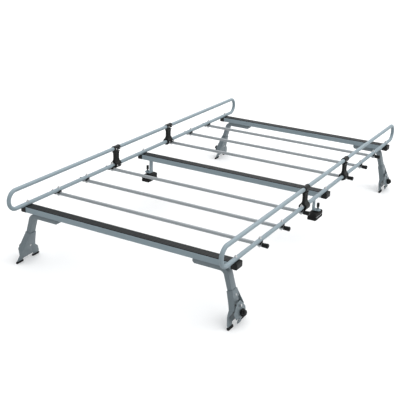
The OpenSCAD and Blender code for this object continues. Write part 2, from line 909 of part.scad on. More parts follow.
at_corner(-1, -1) clamp_plate();  // clamp_plate_rear_left
at_corner(1, -1) clamp_plate();  // clamp_plate_rear_right
at_corner(-1, 1) clamp_plate();  // clamp_plate_front_left
at_corner(1, 1) clamp_plate();  // clamp_plate_front_right
at_corner(-1, -1) clamp_knob();  // clamp_knob_rear_left
at_corner(1, -1) clamp_knob();  // clamp_knob_rear_right
at_corner(-1, 1) clamp_knob();  // clamp_knob_front_left
at_corner(1, 1) clamp_knob();  // clamp_knob_front_right
at_support(-1) support_bracket();  // support_bracket_left
at_support(1) support_bracket();  // support_bracket_right
support_bolts();
at_support(-1) support_screw();  // support_screw_left
at_support(1) support_screw();  // support_screw_right
at_support(-1) support_pad();  // support_pad_left
at_support(1) support_pad();  // support_pad_right
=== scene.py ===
import json
import math

import bmesh
import bpy
from mathutils import Matrix, Vector

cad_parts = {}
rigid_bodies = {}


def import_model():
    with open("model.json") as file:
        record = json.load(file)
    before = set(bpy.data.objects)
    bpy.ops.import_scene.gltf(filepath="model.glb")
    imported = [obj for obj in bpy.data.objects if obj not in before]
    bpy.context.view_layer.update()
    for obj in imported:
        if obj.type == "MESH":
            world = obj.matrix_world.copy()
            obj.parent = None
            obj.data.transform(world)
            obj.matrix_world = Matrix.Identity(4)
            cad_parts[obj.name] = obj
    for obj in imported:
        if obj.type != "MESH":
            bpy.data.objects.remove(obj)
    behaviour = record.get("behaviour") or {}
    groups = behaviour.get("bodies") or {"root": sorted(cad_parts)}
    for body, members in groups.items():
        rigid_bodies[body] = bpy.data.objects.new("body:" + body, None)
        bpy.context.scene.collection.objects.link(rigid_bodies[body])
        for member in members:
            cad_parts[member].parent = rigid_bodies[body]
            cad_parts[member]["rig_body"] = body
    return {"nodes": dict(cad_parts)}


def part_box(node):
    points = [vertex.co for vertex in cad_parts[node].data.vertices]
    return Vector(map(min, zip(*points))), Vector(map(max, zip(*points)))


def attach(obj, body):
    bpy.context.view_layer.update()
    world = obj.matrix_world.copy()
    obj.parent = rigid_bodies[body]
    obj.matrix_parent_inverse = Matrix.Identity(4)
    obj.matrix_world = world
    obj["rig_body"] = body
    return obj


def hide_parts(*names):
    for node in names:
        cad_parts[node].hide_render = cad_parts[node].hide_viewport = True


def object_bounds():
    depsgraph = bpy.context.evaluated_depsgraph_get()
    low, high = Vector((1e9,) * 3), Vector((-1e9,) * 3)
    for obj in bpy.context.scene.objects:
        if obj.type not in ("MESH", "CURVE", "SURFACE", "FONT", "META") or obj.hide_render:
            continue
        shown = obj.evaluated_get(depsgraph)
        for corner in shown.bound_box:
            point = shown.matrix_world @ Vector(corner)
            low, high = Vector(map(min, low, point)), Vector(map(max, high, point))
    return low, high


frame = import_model()
cadLow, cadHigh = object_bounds()
print("ladder rack: frame loaded,", len(frame["nodes"]), "nodes")

scene = bpy.context.scene
scene.view_settings.view_transform = "Standard"
fullTurn = 2 * math.pi


# camera, light and floor

studio = {
    "cameraPlace": (2.1025, -4.0652, 1.8888),
    "azimuth": 29.4556,  # degrees round the rack, from straight behind it
    "elevation": 21.0954,
    "roll": 1.7463,
    "lens": 72.10,
    "farClip": 200,
    "skyLow": (0.56, 0.57, 0.58),
    "skyHigh": (0.62, 0.63, 0.64),
    "backdrop": (1.0, 1.0, 1.0),
    "floorColour": (0.97, 0.97, 0.97),
    "floorSize": 60.0,
    "floorRoughness": 0.9,
    "floorShine": 0.1,
    "sunStrength": 1.95,
    "sunAngle": 110,  # degrees across, which gives very soft shadows
    "sunTilt": (-14, 18, 0),
    "softBoxes": (
        # place, aim, size, watts
        ((-1.4, 4.9, 3.3), (0.1, 0.2, 0.3), (3.0, 2.2), 35),
        ((3.4, 1.6, 3.0), (0.3, 0.0, 0.2), (1.6, 2.4), 15),
    ),
}


def makeCamera(look):
    azimuth, elevation, roll = (math.radians(look[k]) for k in ("azimuth", "elevation", "roll"))
    back = Vector((
        math.sin(azimuth) * math.cos(elevation),
        -math.cos(azimuth) * math.cos(elevation),
        math.sin(elevation),
    ))
    levelRight = Vector((math.cos(azimuth), math.sin(azimuth), 0))
    levelUp = back.cross(levelRight)
    right = levelRight * math.cos(roll) + levelUp * math.sin(roll)
    up = levelUp * math.cos(roll) - levelRight * math.sin(roll)
    camera = bpy.data.objects.new("rackCamera", bpy.data.cameras.new("rackCamera"))
    camera.data.lens = look["lens"]
    camera.data.clip_end = look["farClip"]
    turn = Matrix((right, up, back)).transposed().to_4x4()
    camera.matrix_world = Matrix.Translation(look["cameraPlace"]) @ turn
    scene.collection.objects.link(camera)
    scene.camera = camera


def makeLights(look):
    sun = bpy.data.objects.new("wideSun", bpy.data.lights.new("wideSun", "SUN"))
    sun.data.energy = look["sunStrength"]
    sun.data.angle = math.radians(look["sunAngle"])
    sun.rotation_euler = [math.radians(tilt) for tilt in look["sunTilt"]]
    scene.collection.objects.link(sun)
    for i, (place, aim, size, watts) in enumerate(look["softBoxes"]):
        box = bpy.data.objects.new(f"softBox{i}", bpy.data.lights.new(f"softBox{i}", "AREA"))
        box.data.shape = "RECTANGLE"
        box.data.size, box.data.size_y = size
        box.data.energy = watts
        box.location = place
        aimed = Vector(aim) - Vector(place)
        box.rotation_euler = aimed.to_track_quat("-Z", "Y").to_euler()
        scene.collection.objects.link(box)


def makeWorld(look):
    # a pale sky lights the rack, and a white backdrop is all the camera sees of it
    world = bpy.data.worlds.new("paleStudio")
    world.use_nodes = True
    scene.world = world
    tree = world.node_tree
    tree.nodes.clear()
    place = addNode(tree, "ShaderNodeTexCoord")
    height = addNode(tree, "ShaderNodeSeparateXYZ", {"Vector": place.outputs["Generated"]})
    mix = addNode(tree, "ShaderNodeMix", data_type="RGBA")
    tree.links.new(height.outputs["Z"], mix.inputs["Factor"])
    mix.inputs["A"].default_value = (*look["skyLow"], 1)
    mix.inputs["B"].default_value = (*look["skyHigh"], 1)
    sky = addNode(tree, "ShaderNodeBackground", {"Color": mix.outputs["Result"]})
    backdrop = addNode(tree, "ShaderNodeBackground", {"Color": (*look["backdrop"], 1)})
    seen = addNode(tree, "ShaderNodeLightPath")
    both = addNode(tree, "ShaderNodeMixShader", {"Fac": seen.outputs["Is Camera Ray"]})
    tree.links.new(sky.outputs[0], both.inputs[1])
    tree.links.new(backdrop.outputs[0], both.inputs[2])
    addNode(tree, "ShaderNodeOutputWorld", {"Surface": both.outputs[0]})


def makeFloor(look):
    bm = bmesh.new()
    bmesh.ops.create_grid(bm, x_segments=1, y_segments=1, size=look["floorSize"] / 2)
    floor = addPiece("studioFloor", bm)
    floor.location.z = cadLow.z
    paper = bpy.data.materials.new("palePaper")
    paper.use_nodes = True
    shader = paper.node_tree.nodes["Principled BSDF"]
    shader.inputs["Base Color"].default_value = (*look["floorColour"], 1)
    shader.inputs["Roughness"].default_value = look["floorRoughness"]
    shader.inputs["Specular IOR Level"].default_value = look["floorShine"]
    floor.data.materials.append(paper)
    # the underside of the rack is lit by the lower sky, not by the floor
    floor.visible_diffuse = False


# small helpers

def addNode(tree, kind, inputs=None, **settings):
    node = tree.nodes.new(kind)
    for key, value in settings.items():
        setattr(node, key, value)
    for key, value in (inputs or {}).items():
        if isinstance(value, bpy.types.NodeSocket):
            tree.links.new(value, node.inputs[key])
        else:
            node.inputs[key].default_value = value
    return node


def addPiece(name, bm, matrix=None, sharpAngle=32):
    # closes the bmesh into an object with smooth faces and sharp creases
    if matrix is not None:
        bm.transform(matrix)
    bmesh.ops.recalc_face_normals(bm, faces=bm.faces)
    mesh = bpy.data.meshes.new(name)
    bm.to_mesh(mesh)
    bm.free()
    mesh.shade_smooth()
    mesh.set_sharp_from_angle(angle=math.radians(sharpAngle))
    piece = bpy.data.objects.new(name, mesh)
    scene.collection.objects.link(piece)
    return piece


def circleOutline(diameter, steps):
    return [
        (diameter / 2 * math.cos(fullTurn * i / steps), diameter / 2 * math.sin(fullTurn * i / steps))
        for i in range(steps)
    ]


def boxOutline(width, height, radius, steps):
    # rounded rectangle, with the same number of points in each corner
    perCorner = steps // 4
    points = []
    for corner, (sx, sy) in enumerate(((1, 1), (-1, 1), (-1, -1), (1, -1))):
        for i in range(perCorner):
            angle = math.pi / 2 * (corner + i / (perCorner - 1))
            points.append((
                sx * (width / 2 - radius) + radius * math.cos(angle),
                sy * (height / 2 - radius) + radius * math.sin(angle),
            ))
    return points


def lobedOutline(diameter, lobes, depth, steps):
    points = []
    for i in range(steps):
        angle = fullTurn * i / steps
        radius = diameter / 2 - depth * (0.5 - 0.5 * math.cos(lobes * angle)) ** 1.4
        points.append((radius * math.cos(angle), radius * math.sin(angle)))
    return points


def onAxis(axis, along, point):
    u, v = point
    return Vector({"x": (along, u, v), "y": (u, along, v), "z": (u, v, along)}[axis])


def loft(bm, axis, sections, offset=(0, 0, 0), ring=False):
    # joins outlines at their places along an axis; ring=True closes the last onto the first
    rows = [
        [bm.verts.new(onAxis(axis, along, p) + Vector(offset)) for p in outline]
        for along, outline in sections
    ]
    pairs = list(zip(rows, rows[1:]))
    if ring:
        pairs.append((rows[-1], rows[0]))
    for a, b in pairs:
        for i in range(len(a)):
            j = (i + 1) % len(a)
            bm.faces.new((a[i], a[j], b[j], b[i]))
    if not ring:
        bm.faces.new(rows[0])
        bm.faces.new(rows[-1])


def finishPiece(piece, body, slot, *nodes):
    piece.data.materials.append(finishes[slot])
    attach(piece, body)
    if nodes:
        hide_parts(*nodes)
    return piece


# finishes

def newGroup(name, inputs, outputs):
    group = bpy.data.node_groups.new(name, "ShaderNodeTree")
    for label, kind, value in inputs:
        group.interface.new_socket(label, in_out="INPUT", socket_type=kind).default_value = value
    for label, kind in outputs:
        group.interface.new_socket(label, in_out="OUTPUT", socket_type=kind)
    return group, addNode(group, "NodeGroupInput"), addNode(group, "NodeGroupOutput")


def makeGrainGroup():
    # uneven tone and a fine surface height, stretched along one axis if asked
    group, given, made = newGroup(
        "surfaceGrain",
        [("Size", "NodeSocketFloat", 400.0), ("Stretch", "NodeSocketVector", (1, 1, 1)),
         ("Low", "NodeSocketFloat", 0.35), ("High", "NodeSocketFloat", 0.65)],
        [("Height", "NodeSocketFloat"), ("Tone", "NodeSocketFloat")],
    )
    place = addNode(group, "ShaderNodeTexCoord")
    scaled = addNode(group, "ShaderNodeVectorMath", operation="MULTIPLY")
    group.links.new(place.outputs["Object"], scaled.inputs[0])
    group.links.new(given.outputs["Stretch"], scaled.inputs[1])
    noise = addNode(group, "ShaderNodeTexNoise", {
        "Vector": scaled.outputs[0], "Scale": given.outputs["Size"], "Detail": 3.0, "Roughness": 0.6,
    })
    tone = addNode(group, "ShaderNodeMapRange", {
        "Value": noise.outputs["Fac"], "From Min": given.outputs["Low"], "From Max": given.outputs["High"],
    })
    group.links.new(noise.outputs["Fac"], made.inputs["Height"])
    group.links.new(tone.outputs["Result"], made.inputs["Tone"])
    return group


def makeEdgeGroup():
    # 1 on outer edges and corners, broken up by noise
    group, given, made = newGroup(
        "edgeWear",
        [("Width", "NodeSocketFloat", 0.0012), ("Amount", "NodeSocketFloat", 0.5)],
        [("Mask", "NodeSocketFloat")],
    )
    rounded = addNode(group, "ShaderNodeBevel", {"Radius": given.outputs["Width"]}, samples=4)
    surface = addNode(group, "ShaderNodeNewGeometry")
    alike = addNode(group, "ShaderNodeVectorMath", operation="DOT_PRODUCT")
    group.links.new(rounded.outputs["Normal"], alike.inputs[0])
    group.links.new(surface.outputs["Normal"], alike.inputs[1])
    edge = addNode(group, "ShaderNodeMapRange", {
        "Value": alike.outputs["Value"], "From Min": 0.995, "From Max": 0.85, "To Min": 0.0, "To Max": 1.0,
    })
    place = addNode(group, "ShaderNodeTexCoord")
    noise = addNode(group, "ShaderNodeTexNoise", {
        "Vector": place.outputs["Object"], "Scale": 60.0, "Detail": 4.0,
    })
    patchy = addNode(group, "ShaderNodeMapRange", {
        "Value": noise.outputs["Fac"], "From Min": 0.4, "From Max": 0.65,
    })
    worn = addNode(group, "ShaderNodeMath", operation="MULTIPLY")
    group.links.new(edge.outputs["Result"], worn.inputs[0])
    group.links.new(patchy.outputs["Result"], worn.inputs[1])
    limited = addNode(group, "ShaderNodeMath", operation="MULTIPLY")
    group.links.new(worn.outputs[0], limited.inputs[0])
    group.links.new(given.outputs["Amount"], limited.inputs[1])
    group.links.new(limited.outputs[0], made.inputs["Mask"])
    return group


def makeDustGroup():
    # a thin veil on the faces that look up
    group, given, made = newGroup(
        "dustVeil",
        [("Amount", "NodeSocketFloat", 0.2), ("Size", "NodeSocketFloat", 14.0)],
        [("Mask", "NodeSocketFloat")],
    )
    surface = addNode(group, "ShaderNodeNewGeometry")
    parts = addNode(group, "ShaderNodeSeparateXYZ", {"Vector": surface.outputs["Normal"]})
    upward = addNode(group, "ShaderNodeMapRange", {
        "Value": parts.outputs["Z"], "From Min": 0.3, "From Max": 1.0,
    })
    place = addNode(group, "ShaderNodeTexCoord")
    noise = addNode(group, "ShaderNodeTexNoise", {
        "Vector": place.outputs["Object"], "Scale": given.outputs["Size"], "Detail": 5.0, "Roughness": 0.65,
    })
    patchy = addNode(group, "ShaderNodeMapRange", {
        "Value": noise.outputs["Fac"], "From Min": 0.35, "From Max": 0.75,
    })
    settled = addNode(group, "ShaderNodeMath", operation="MULTIPLY")
    group.links.new(upward.outputs["Result"], settled.inputs[0])
    group.links.new(patchy.outputs["Result"], settled.inputs[1])
    limited = addNode(group, "ShaderNodeMath", operation="MULTIPLY")
    group.links.new(settled.outputs[0], limited.inputs[0])
    group.links.new(given.outputs["Amount"], limited.inputs[1])
    group.links.new(limited.outputs[0], made.inputs["Mask"])
    return group


grainGroup = makeGrainGroup()
edgeGroup = makeEdgeGroup()
dustGroup = makeDustGroup()

# colours are linear; grain sizes are cycles per metre
finishRecipes = {
    "frame_paint": dict(
        name="silverPaint", dark=(0.255, 0.322, 0.357), light=(0.295, 0.364, 0.399), metallic=0.12,
        roughness=(0.42, 0.54), grain=900.0, stretch=(1, 1, 1), bump=0.06,
        wearColour=(0.36, 0.39, 0.41), wear=0.4, dustColour=(0.34, 0.36, 0.37), dust=0.05, shine=0.38,
    ),
    "leg_paint": dict(
        name="greyPaint", dark=(0.158, 0.192, 0.210), light=(0.186, 0.224, 0.242), metallic=0.20,
        roughness=(0.42, 0.54), grain=900.0, stretch=(1, 1, 1), bump=0.06,
        wearColour=(0.28, 0.31, 0.33), wear=0.5, dustColour=(0.28, 0.30, 0.31), dust=0.05, shine=0.45,
    ),
    "satin_rod": dict(
        name="satinMetal", dark=(0.31, 0.335, 0.35), light=(0.38, 0.405, 0.42), metallic=0.35,
        roughness=(0.32, 0.46), grain=500.0, stretch=(0.04, 1, 1), bump=0.05,
        wearColour=(0.42, 0.44, 0.45), wear=0.4, dustColour=(0.36, 0.37, 0.37), dust=0.03, shine=0.4,
    ),
    "zinc": dict(
        name="brightZinc", dark=(0.50, 0.51, 0.52), light=(0.66, 0.67, 0.67), metallic=0.75,
        roughness=(0.24, 0.42), grain=260.0, stretch=(1, 1, 1), bump=0.04,
        wearColour=(0.72, 0.72, 0.71), wear=0.5, dustColour=(0.40, 0.40, 0.40), dust=0.06, shine=0.5,
    ),
    "strip_rubber": dict(
        name="stripRubber", dark=(0.008, 0.009, 0.010), light=(0.014, 0.016, 0.017), metallic=0.0,
        roughness=(0.42, 0.58), grain=1300.0, stretch=(0.5, 1, 1), bump=0.12,
        wearColour=(0.03, 0.033, 0.035), wear=0.3, dustColour=(0.10, 0.105, 0.11), dust=0.03, shine=0.22,
    ),
    "black_plastic": dict(
        name="blackPlastic", dark=(0.005, 0.006, 0.006), light=(0.009, 0.010, 0.010), metallic=0.0,
        roughness=(0.44, 0.58), grain=1600.0, stretch=(1, 1, 1), bump=0.10,
        wearColour=(0.03, 0.031, 0.032), wear=0.3, dustColour=(0.08, 0.082, 0.084), dust=0.02, shine=0.2,
    ),
    "black_rubber": dict(
        name="blackRubber", dark=(0.007, 0.007, 0.007), light=(0.013, 0.013, 0.013), metallic=0.0,
        roughness=(0.62, 0.82), grain=1100.0, stretch=(1, 1, 1), bump=0.18,
        wearColour=(0.03, 0.03, 0.03), wear=0.3, dustColour=(0.08, 0.08, 0.08), dust=0.03, shine=0.2,
    ),
    "black_screw": dict(
        name="blackenedSteel", dark=(0.020, 0.021, 0.022), light=(0.036, 0.037, 0.038), metallic=0.6,
        roughness=(0.34, 0.48), grain=700.0, stretch=(1, 1, 1), bump=0.05,
        wearColour=(0.20, 0.20, 0.20), wear=0.6, dustColour=(0.10, 0.10, 0.10), dust=0.03, shine=0.35,
    ),
}


def mixColour(tree, factor, first, second):
    mix = addNode(tree, "ShaderNodeMix", data_type="RGBA")
    for key, value in (("Factor", factor), ("A", first), ("B", second)):
        socket = next(s for s in mix.inputs if s.name == key and s.enabled)
        if isinstance(value, bpy.types.NodeSocket):
            tree.links.new(value, socket)
        else:
            socket.default_value = value
    return next(s for s in mix.outputs if s.enabled)


bumpDistance = 0.0004


def makeFinish(recipe):
    finish = bpy.data.materials.new(recipe["name"])
    finish.use_nodes = True
    tree = finish.node_tree
    shader = tree.nodes["Principled BSDF"]
    grain = addNode(tree, "ShaderNodeGroup", node_tree=grainGroup)
    grain.inputs["Size"].default_value = recipe["grain"]
    grain.inputs["Stretch"].default_value = recipe["stretch"]
    edge = addNode(tree, "ShaderNodeGroup", node_tree=edgeGroup)
    edge.inputs["Amount"].default_value = recipe["wear"]
    dust = addNode(tree, "ShaderNodeGroup", node_tree=dustGroup)
    dust.inputs["Amount"].default_value = recipe["dust"]
    base = mixColour(tree, grain.outputs["Tone"], (*recipe["dark"], 1), (*recipe["light"], 1))
    worn = mixColour(tree, edge.outputs["Mask"], base, (*recipe["wearColour"], 1))
    dusty = mixColour(tree, dust.outputs["Mask"], worn, (*recipe["dustColour"], 1))
    tree.links.new(dusty, shader.inputs["Base Color"])
    smooth, rough = recipe["roughness"]
    gloss = addNode(tree, "ShaderNodeMapRange", {
        "Value": grain.outputs["Tone"], "To Min": smooth, "To Max": rough,
    })
    tree.links.new(gloss.outputs["Result"], shader.inputs["Roughness"])
    bump = addNode(tree, "ShaderNodeBump", {
        "Height": grain.outputs["Height"], "Strength": recipe["bump"], "Distance": bumpDistance,
    })
    tree.links.new(bump.outputs["Normal"], shader.inputs["Normal"])
    shader.inputs["Metallic"].default_value = recipe["metallic"]
    shader.inputs["Specular IOR Level"].default_value = recipe["shine"]
    return finish


finishes = {slot: makeFinish(recipe) for slot, recipe in finishRecipes.items()}
for node in frame["nodes"].values():
    for materialSlot in node.material_slots:
        materialSlot.material = finishes[materialSlot.material.name]
print("ladder rack:", len(finishes), "finishes made")


# crossbar strips and caps

stripShape = {
    "edgeRadius": 0.0015, "edgeSteps": 4, "endRound": 0.0008,
    "grooves": 3, "grooveWidth": 0.0030, "grooveDepth": 0.0014, "grooveSteps": 6,
}


def makeStrip(place):
    # extruded rubber with soft-edged grooves along its top
    low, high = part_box("rubber_strip_" + place)
    width, height = high.y - low.y, high.z - low.z
    radius, depth = stripShape["edgeRadius"], stripShape["grooveDepth"]
    edgeSteps, grooveSteps = stripShape["edgeSteps"], stripShape["grooveSteps"]
    half = width / 2

    def profile(inset):
        points = [(-half + inset, 0), (half - inset, 0)]
        for i in range(edgeSteps + 1):
            angle = math.pi / 2 * i / edgeSteps
            points.append((
                half - inset - radius + radius * math.cos(angle),
                height - inset - radius + radius * math.sin(angle),
            ))
        spacing = width / (stripShape["grooves"] + 1)
        for k in range(stripShape["grooves"]):
            middle = half - spacing * (k + 1)
            for i in range(grooveSteps + 1):
                across = 0.5 - i / grooveSteps
                dip = depth * math.cos(math.pi * across) ** 0.6 if abs(across) < 0.5 else 0
                points.append((middle + across * stripShape["grooveWidth"], height - inset - dip))
        for i in range(edgeSteps + 1):
            angle = math.pi / 2 * (1 + i / edgeSteps)
            points.append((
                -half + inset + radius + radius * math.cos(angle),
                height - inset - radius + radius * math.sin(angle),
            ))
        return points

    end = stripShape["endRound"]
    bm = bmesh.new()
    loft(bm, "x", [
        (low.x, profile(end)), (low.x + end, profile(0)),
        (high.x - end, profile(0)), (high.x, profile(end)),
    ], offset=(0, (low.y + high.y) / 2, low.z))
    finishPiece(addPiece("gripStrip." + place, bm), "frame", "strip_rubber", "rubber_strip_" + place)


barCapShape = {
    # distance out from the bar's end, then how far the outline is drawn in
    "steps": ((-0.0004, 0.0012), (0.0, 0.0), (0.0090, 0.0), (0.0112, 0.0006), (0.0130, 0.0018),
              (0.0143, 0.0036), (0.0149, 0.0056), (0.0150, 0.0080)),
    "plug": ((-0.0200, 0.0046), (-0.0190, 0.0036), (0.0, 0.0036)),
    # distance in along the bar, then how far the skirt's outline is drawn in
    "skirt": ((0.0180, 0.0008), (0.0172, 0.0002), (-0.0010, 0.0002)),
    "skirtWall": 0.0020, "skirtFit": 0.0001, "skirtCornerSteps": 5,
    "cornerRadius": 0.007, "innerRadius": 0.003, "smallestRadius": 0.0015, "points": 48,
}


def skirtOutline(width, height, inset):
    # a channel round the bar's sides and underside, as one closed outline from its top left
    wall, fit = barCapShape["skirtWall"], barCapShape["skirtFit"]
    steps = barCapShape["skirtCornerSteps"]
    points = []
    for depth, radius, turn in (
        (inset, barCapShape["cornerRadius"], 1), (wall - fit, barCapShape["innerRadius"], -1),
    ):
        halfWidth, halfHeight = width / 2 - depth, height / 2 - depth
        run = [(-halfWidth, height / 2 - wall)]
        for middle, start in ((-1, math.pi), (1, 1.5 * math.pi)):
            for i in range(steps + 1):
                angle = start + math.pi / 2 * i / steps
                run.append((
                    middle * (halfWidth - radius) + radius * math.cos(angle),
                    radius - halfHeight + radius * math.sin(angle),
                ))
        run.append((halfWidth, height / 2 - wall))
        points += run[::turn]
    return points


def makeBarCaps():
    low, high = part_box("bar_end_caps")
    for place in ("rear", "middle", "front"):
        barLow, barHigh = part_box("crossbar_" + place)
        height = high.z - low.z
        width = barHigh.y - barLow.y + height - (barHigh.z - barLow.z)
        middle = (0, (barLow.y + barHigh.y) / 2, (barLow.z + barHigh.z) / 2)
        for side, sign, start in (("left", -1, barLow.x), ("right", 1, barHigh.x)):
            bm = bmesh.new()
            sections = []
            for out, inset in (*barCapShape["plug"], *barCapShape["steps"]):
                radius = max(barCapShape["cornerRadius"] - inset, barCapShape["smallestRadius"])
                outline = boxOutline(width - 2 * inset, height - 2 * inset, radius, barCapShape["points"])
                sections.append((start + sign * out, outline))
            loft(bm, "x", sections, offset=middle)
            loft(bm, "x", [
                (start - sign * back, skirtOutline(width, height, inset))
                for back, inset in barCapShape["skirt"]
            ], offset=middle)
            piece = finishPiece(addPiece(f"barCap.{place}.{side}", bm), "frame", "black_plastic")
            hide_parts("bar_end_caps")


rodCapShape = {
    # distance in from the closed end, then the radius over the rod's own
    "steps": ((0.0, -0.0030), (0.0006, -0.0006), (0.0016, 0.0012), (0.0030, 0.0026), (0.0050, 0.0030),
              (0.0075, 0.0026), (0.0200, 0.0018), (0.0300, 0.0015), (0.0312, 0.0020), (0.0326, 0.0020),
              (0.0336, 0.0013), (0.0338, 0.0002)),
    "boreDepth": 0.0062, "points": 48,
}


def makeRodCaps():
    low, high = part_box("rod_end_caps")
    for number in range(1, 7):
        rodLow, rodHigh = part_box(f"rod_{number}")
        radius = (rodHigh.z - rodLow.z) / 2
        middle = (0, (rodLow.y + rodHigh.y) / 2, (rodLow.z + rodHigh.z) / 2)
        for side, sign, end in (("left", -1, low.x), ("right", 1, high.x)):
            bm = bmesh.new()
            sections = [
                (end - sign * inward, circleOutline(2 * (radius + over), rodCapShape["points"]))
                for inward, over in rodCapShape["steps"]
            ]
            sections.append((
                end - sign * rodCapShape["boreDepth"],
                circleOutline(2 * (radius + rodCapShape["steps"][-1][1]), rodCapShape["points"]),
            ))
            loft(bm, "x", sections, offset=middle)
            piece = finishPiece(addPiece(f"rodCap.{number}.{side}", bm), "frame", "black_plastic")
            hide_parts("rod_end_caps")


for place in ("rear", "middle", "front"):
    makeStrip(place)
makeBarCaps()
makeRodCaps()
print("ladder rack: strips and caps made")


# rail joints

jointShape = {
    "hood": {"diameter": 0.032, "length": 0.058, "lip": 0.0008},
    "boss": {"diameter": 0.046, "length": 0.054, "lip": 0.0010},
    "bore": 0.0222, "boreLip": 0.0016, "boreChamfer": 0.0008, "round": 0.0028, "roundSteps": 3,
    # distance of the collar's step from the sleeve's end, at its foot and at its top
    "collarFoot": 0.0098, "collarTop": 0.009,
    # share of the way up from the lower tube to the upper one, width across, length along the rail
    "web": ((0.06, 0.026, 0.050), (0.17, 0.020, 0.048), (0.24, 0.0162, 0.0462), (0.34, 0.0150, 0.0450),
            (0.62, 0.0150, 0.0450), (0.76, 0.0160, 0.0464), (0.84, 0.0190, 0.0500), (0.90, 0.024, 0.052)),
    "webRadius": 0.003, "webOverlap": 0.001, "points": 56,
    "ribs": 3, "ribSpacing": 0.015, "ribRadius": 0.0012, "ribPoints": 16,
    # share of the web's height, then distance further up, width across, length along the rail
    "ribSteps": ((0.12, 0, 0.021, 0.0034), (0.12, 0.012, 0.0185, 0.0030),
                 (0.88, -0.012, 0.0185, 0.0030), (0.88, 0, 0.0205, 0.0034)),
}


def sleeveSections(sleeve, length):
    # outside and bore of a sleeve as one closed ring of outlines
    half, outer, soft = length / 2, sleeve["diameter"], jointShape["round"]
    bore, lip, steps = jointShape["bore"], sleeve["lip"], jointShape["roundSteps"]
    foot, top, chamfer = jointShape["collarFoot"], jointShape["collarTop"], jointShape["boreChamfer"]
    mouth = bore + jointShape["boreLip"]
    sections = [(-half, mouth), (-half, outer - 2 * soft)]
    for i in range(1, steps + 1):
        angle = math.pi / 2 * i / steps
        sections.append((-half + soft * (1 - math.cos(angle)), outer - 2 * soft * (1 - math.sin(angle))))
    sections += [
        (-half + top, outer), (-half + foot, outer - 2 * lip),
        (half - foot, outer - 2 * lip), (half - top, outer),
    ]
    for i in range(steps, -1, -1):
        angle = math.pi / 2 * i / steps
        sections.append((half - soft * (1 - math.cos(angle)), outer - 2 * soft * (1 - math.sin(angle))))
    sections += [(half, mouth), (half - chamfer, bore), (-half + chamfer, bore)]
    return [(along, circleOutline(diameter, jointShape["points"])) for along, diameter in sections]


def makeJoint(end, side):
    node = f"joint_{end}_{side}"
    low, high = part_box(node)
    middle = (low + high) / 2
    lowerZ = low.z + jointShape["boss"]["diameter"] / 2
    upperZ = high.z - jointShape["hood"]["diameter"] / 2
    bm = bmesh.new()
    for sleeve, z in ((jointShape["hood"], upperZ), (jointShape["boss"], lowerZ)):
        loft(bm, "y", sleeveSections(sleeve, sleeve["length"]), offset=(middle.x, middle.y, z), ring=True)
    margin = jointShape["bore"] / 2 + jointShape["webOverlap"]
    webLow, webHigh = lowerZ + margin, upperZ - margin
    loft(bm, "z", [
        (webLow + (webHigh - webLow) * share,
         boxOutline(across, along, jointShape["webRadius"], jointShape["points"]))
        for share, across, along in jointShape["web"]
    ], offset=(middle.x, middle.y, 0))
    for k in range(jointShape["ribs"]):
        y = middle.y + (k - (jointShape["ribs"] - 1) / 2) * jointShape["ribSpacing"]
        loft(bm, "z", [
            (webLow + (webHigh - webLow) * share + further,
             boxOutline(across, along, jointShape["ribRadius"], jointShape["ribPoints"]))
            for share, further, across, along in jointShape["ribSteps"]
        ], offset=(middle.x, y, 0))
    finishPiece(addPiece(f"railJoint.{end}.{side}", bm), "frame", "black_plastic", node)


for end in ("rear", "front"):
    for side in ("left", "right"):
        makeJoint(end, side)
print("ladder rack: rail joints made")


# feet

footPlace = {"seamX": 0.6097273, "seamZ": 0.161, "splay": 16.0}
knobShape = {
    # place of its inner face and axis in the foot's own frame
    "start": 0.0248, "z": -0.110,
    "diameter": 0.040, "lobes": 6, "depth": 0.0050,
    # distance from the plate, then diameter; the grip's steps say how far it is drawn in
    "collar": ((0.0, 0.0220), (0.0005, 0.0236), (0.0014, 0.0240), (0.0018, 0.0280)),
    "grip": ((0.0020, 0.0022), (0.0028, 0.0006), (0.0042, 0.0), (0.0112, 0.0), (0.0132, 0.0006),
             (0.0144, 0.0018), (0.0150, 0.0038)),
    "crown": ((0.0151, 0.0260), (0.0200, 0.0258), (0.0222, 0.0250), (0.0235, 0.0226), (0.0240, 0.0180)),
    "points": 96,
}


def footMatrix(end, side):
    # from a foot's own frame, with X out of the bracket and Z up the leg, to its place on the rack
    barLow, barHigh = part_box("crossbar_" + end)
    turned = Matrix.Rotation(math.pi if side == "left" else 0, 4, "Z")
    place = Matrix.Translation((footPlace["seamX"], 0, footPlace["seamZ"]))
    tilt = Matrix.Rotation(math.radians(-footPlace["splay"]), 4, "Y")
    return Matrix.Translation((0, (barLow.y + barHigh.y) / 2, 0)) @ turned @ place @ tilt


def makeKnob(end, side):
    shape, points = knobShape, knobShape["points"]
    bm = bmesh.new()
    sections = [(out, circleOutline(diameter, points)) for out, diameter in shape["collar"]]
    sections += [
        (out, lobedOutline(shape["diameter"] - 2 * inset, shape["lobes"], shape["depth"] - inset / 3, points))
        for out, inset in shape["grip"]
    ]
    sections += [(out, circleOutline(diameter, points)) for out, diameter in shape["crown"]]
    loft(bm, "x", sections, offset=(shape["start"], 0, shape["z"]))
    piece = addPiece(f"clampKnob.{end}.{side}", bm, footMatrix(end, side))
    finishPiece(piece, f"knob_{end}_{side}", "black_plastic", f"clamp_knob_{end}_{side}")


for end in ("rear", "front"):
    for side in ("left", "right"):
        makeKnob(end, side)
print("ladder rack: clamp knobs made")


# middle supports

